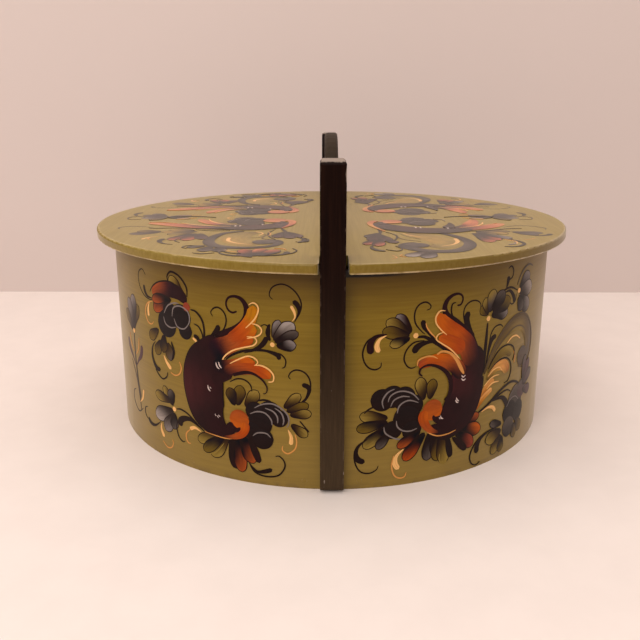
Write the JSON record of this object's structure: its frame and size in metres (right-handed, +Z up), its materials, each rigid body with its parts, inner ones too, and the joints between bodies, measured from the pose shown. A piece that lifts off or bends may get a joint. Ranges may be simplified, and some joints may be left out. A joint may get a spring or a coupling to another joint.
{
  "type": "norwegian tine box",
  "caption": "Round bentwood box with a flat overhanging lid that snaps down between two upright posts, with a bow handle running from post to post.",
  "frame": {"origin": "centre of the band's lower edge, on the surface that the box stands on", "axes": "+Z up; the two posts stand at -Y (front) and +Y (rear) and the handle runs along Y; +X to the right when seen from the front post"},
  "size_m": [0.311, 0.3104, 0.1865],
  "materials": {
    "olive_paint": "olive green oil paint with painted scrolls under satin varnish",
    "lid_paint": "olive green oil paint with painted scrolls under satin varnish",
    "dark_paint": "dark red-brown oil paint, satin, worn at the edges",
    "handle_paint": "dark brown-green oil paint, satin, worn on top",
    "bare_wood": "bare birch, planed",
    "root": "split root, painted over"
  },
  "bodies": {
    "box": {"side_band": "olive_paint", "seam_root_outer": "root", "seam_root_inner": "root", "bottom_board": "bare_wood", "bottom_pegs": "olive_paint"},
    "front_post": {"post_front": "dark_paint", "post_front_dowels": "bare_wood"},
    "rear_post": {"post_rear": "dark_paint", "post_rear_dowels": "bare_wood"},
    "lid": {"lid_board": "lid_paint", "handle": "handle_paint", "handle_pegs": "handle_paint"}
  },
  "joints": [
    {"name": "lid_lift", "type": "slide", "parent": "box", "child": "lid", "axis": [0, 0, 1], "range_m": [0, 0.058]},
    {"name": "front_post_spring", "type": "hinge", "parent": "box", "child": "front_post", "pos_m": [0, -0.1405, 0.005], "axis": [1, 0, 0], "range_deg": [0, 3.2]},
    {"name": "rear_post_spring", "type": "hinge", "parent": "box", "child": "rear_post", "pos_m": [0, 0.1405, 0.005], "axis": [-1, 0, 0], "range_deg": [0, 3.2]}
  ],
  "couplings": [
    {"joint": "front_post_spring", "follows": "lid_lift", "rad_per_m": 0.9},
    {"joint": "rear_post_spring", "follows": "lid_lift", "rad_per_m": 0.9}
  ]
}
